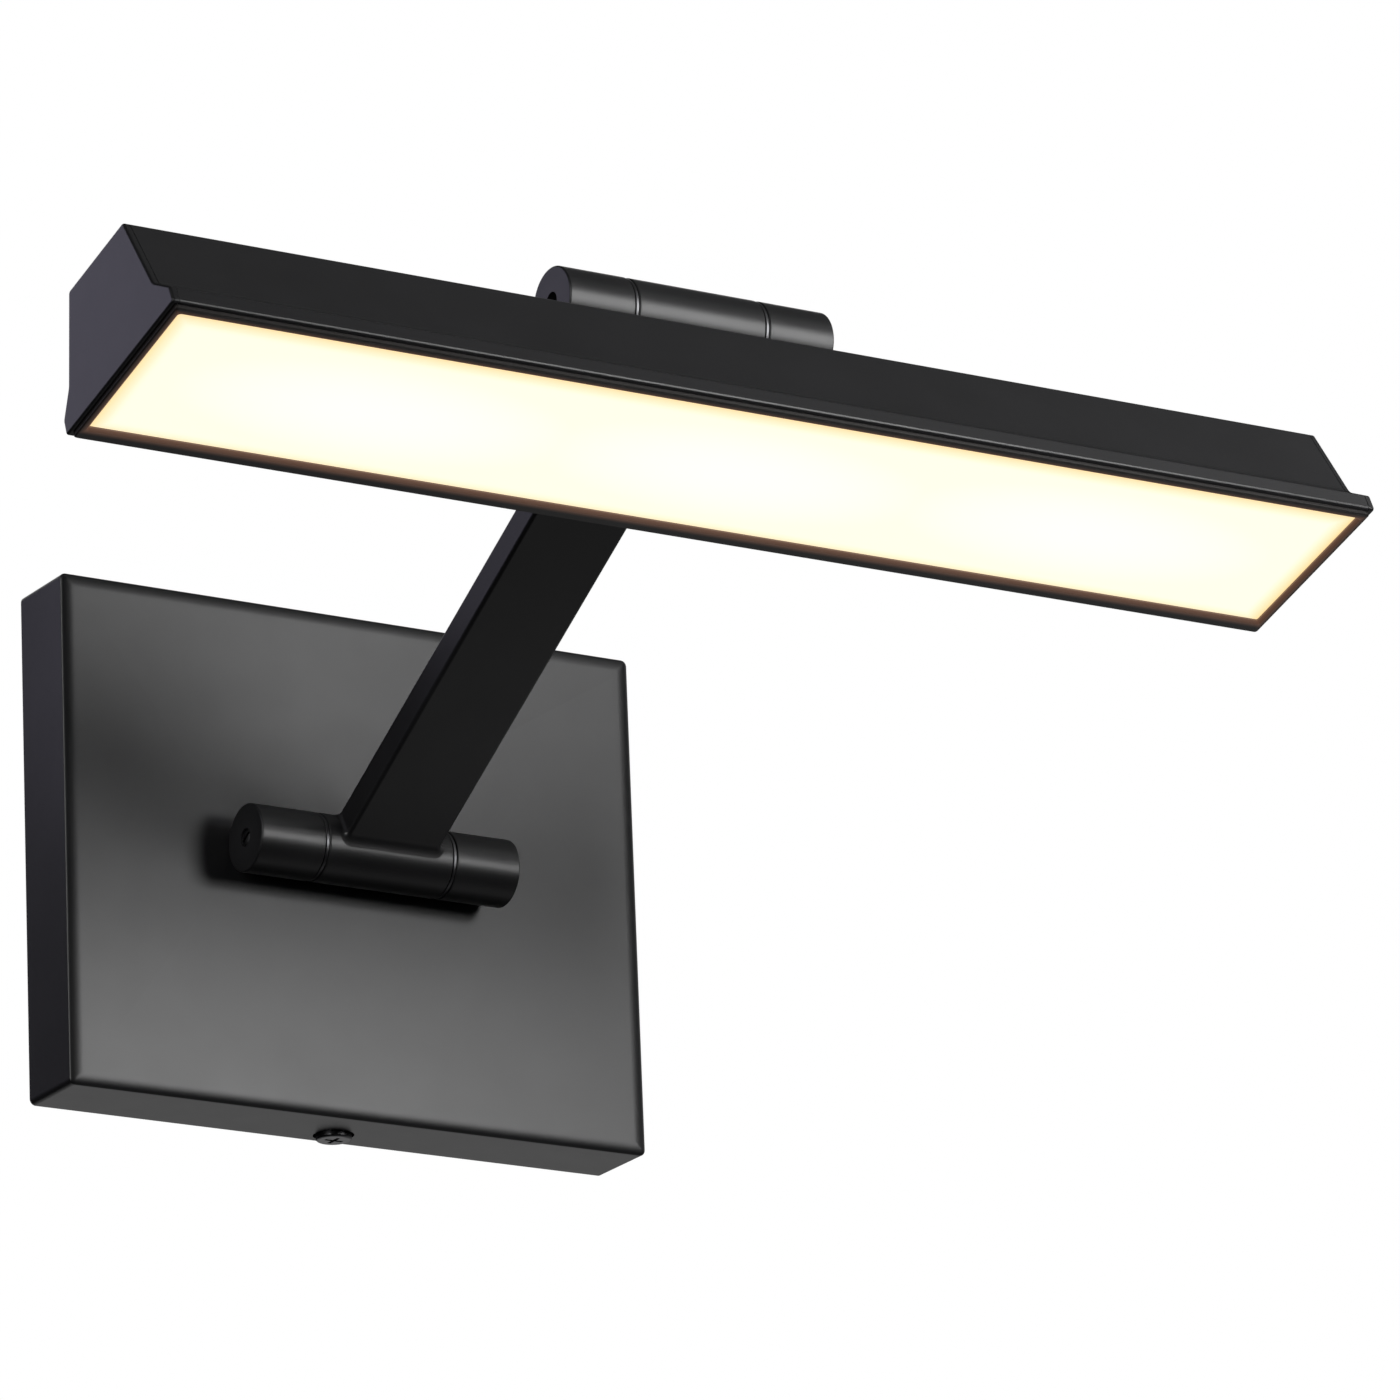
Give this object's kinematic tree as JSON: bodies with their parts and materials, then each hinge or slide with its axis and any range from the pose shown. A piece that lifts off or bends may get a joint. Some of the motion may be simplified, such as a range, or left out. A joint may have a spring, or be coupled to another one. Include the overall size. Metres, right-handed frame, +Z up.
{
  "type": "picture light",
  "caption": "Wall picture light: a square-edged plate, a flat arm between two tilting knuckles, and a long trapezoid LED head with a lit diffuser.",
  "frame": {"origin": "on the wall plane, at the middle of the wall bracket's slot pattern", "axes": "+X to the right along the head's length, +Y into the wall, +Z up"},
  "size_m": [0.287, 0.2014, 0.1427],
  "materials": {
    "black_coat": "satin black powder coat",
    "black_bezel": "satin black powder coat",
    "black_screw": "black oxide",
    "steel_screw": "plain zinc plated",
    "green_screw": "green dyed zinc plate",
    "zinc_plate": "zinc plated steel",
    "bright_washer": "turned bright",
    "grommet_rubber": "matt",
    "driver_case": "fine moulded texture",
    "foam_pad": "closed cell foam tape",
    "lead_jacket": "smooth jacket",
    "nylon_bush": "natural nylon",
    "opal_diffuser": "opal acrylic, lit",
    "reflector_white": "white enamel",
    "board_white": "white solder mask",
    "led_phosphor": "warm phosphor",
    "connector_plastic": "moulded"
  },
  "bodies": {
    "base": {"canopy": "black_coat", "wall_bracket": "zinc_plate", "lock_screw": "black_screw", "ground_screw": "green_screw", "left_wall_ear": "black_coat", "right_wall_ear": "black_coat", "wall_ear_screws": "steel_screw", "lower_pivot_screw": "black_screw", "lower_wire_pivot": "zinc_plate", "lower_washers": "bright_washer", "plate_grommet": "grommet_rubber", "led_driver": "driver_case", "driver_pad": "foam_pad", "canopy_lead": "lead_jacket"},
    "arm": {"arm": "black_coat", "lower_pivot_bush": "nylon_bush", "lower_wire_bush": "nylon_bush", "upper_pivot_bush": "nylon_bush", "upper_wire_bush": "nylon_bush", "arm_lead": "lead_jacket"},
    "head": {"left_head_ear": "black_coat", "right_head_ear": "black_coat", "head_ear_screws": "steel_screw", "upper_pivot_screw": "black_screw", "upper_wire_pivot": "zinc_plate", "upper_washers": "bright_washer", "head_grommet": "grommet_rubber", "head_shell": "black_coat", "left_end_cap": "black_coat", "right_end_cap": "black_coat", "bezel": "black_bezel", "diffuser": "opal_diffuser", "reflector_tray": "reflector_white", "tray_posts": "zinc_plate", "tray_screws": "steel_screw", "led_board": "board_white", "led_chips": "led_phosphor", "lead_connector": "connector_plastic", "head_lead": "lead_jacket"}
  },
  "joints": [
    {"name": "arm_tilt", "type": "hinge", "parent": "base", "child": "arm", "pos_m": [0, -0.027, 0], "axis": [1, 0, 0], "range_deg": [-45, 75]},
    {"name": "head_tilt", "type": "hinge", "parent": "arm", "child": "head", "pos_m": [0, -0.16037, 0.077], "axis": [1, 0, 0], "range_deg": [-70, 34]}
  ]
}
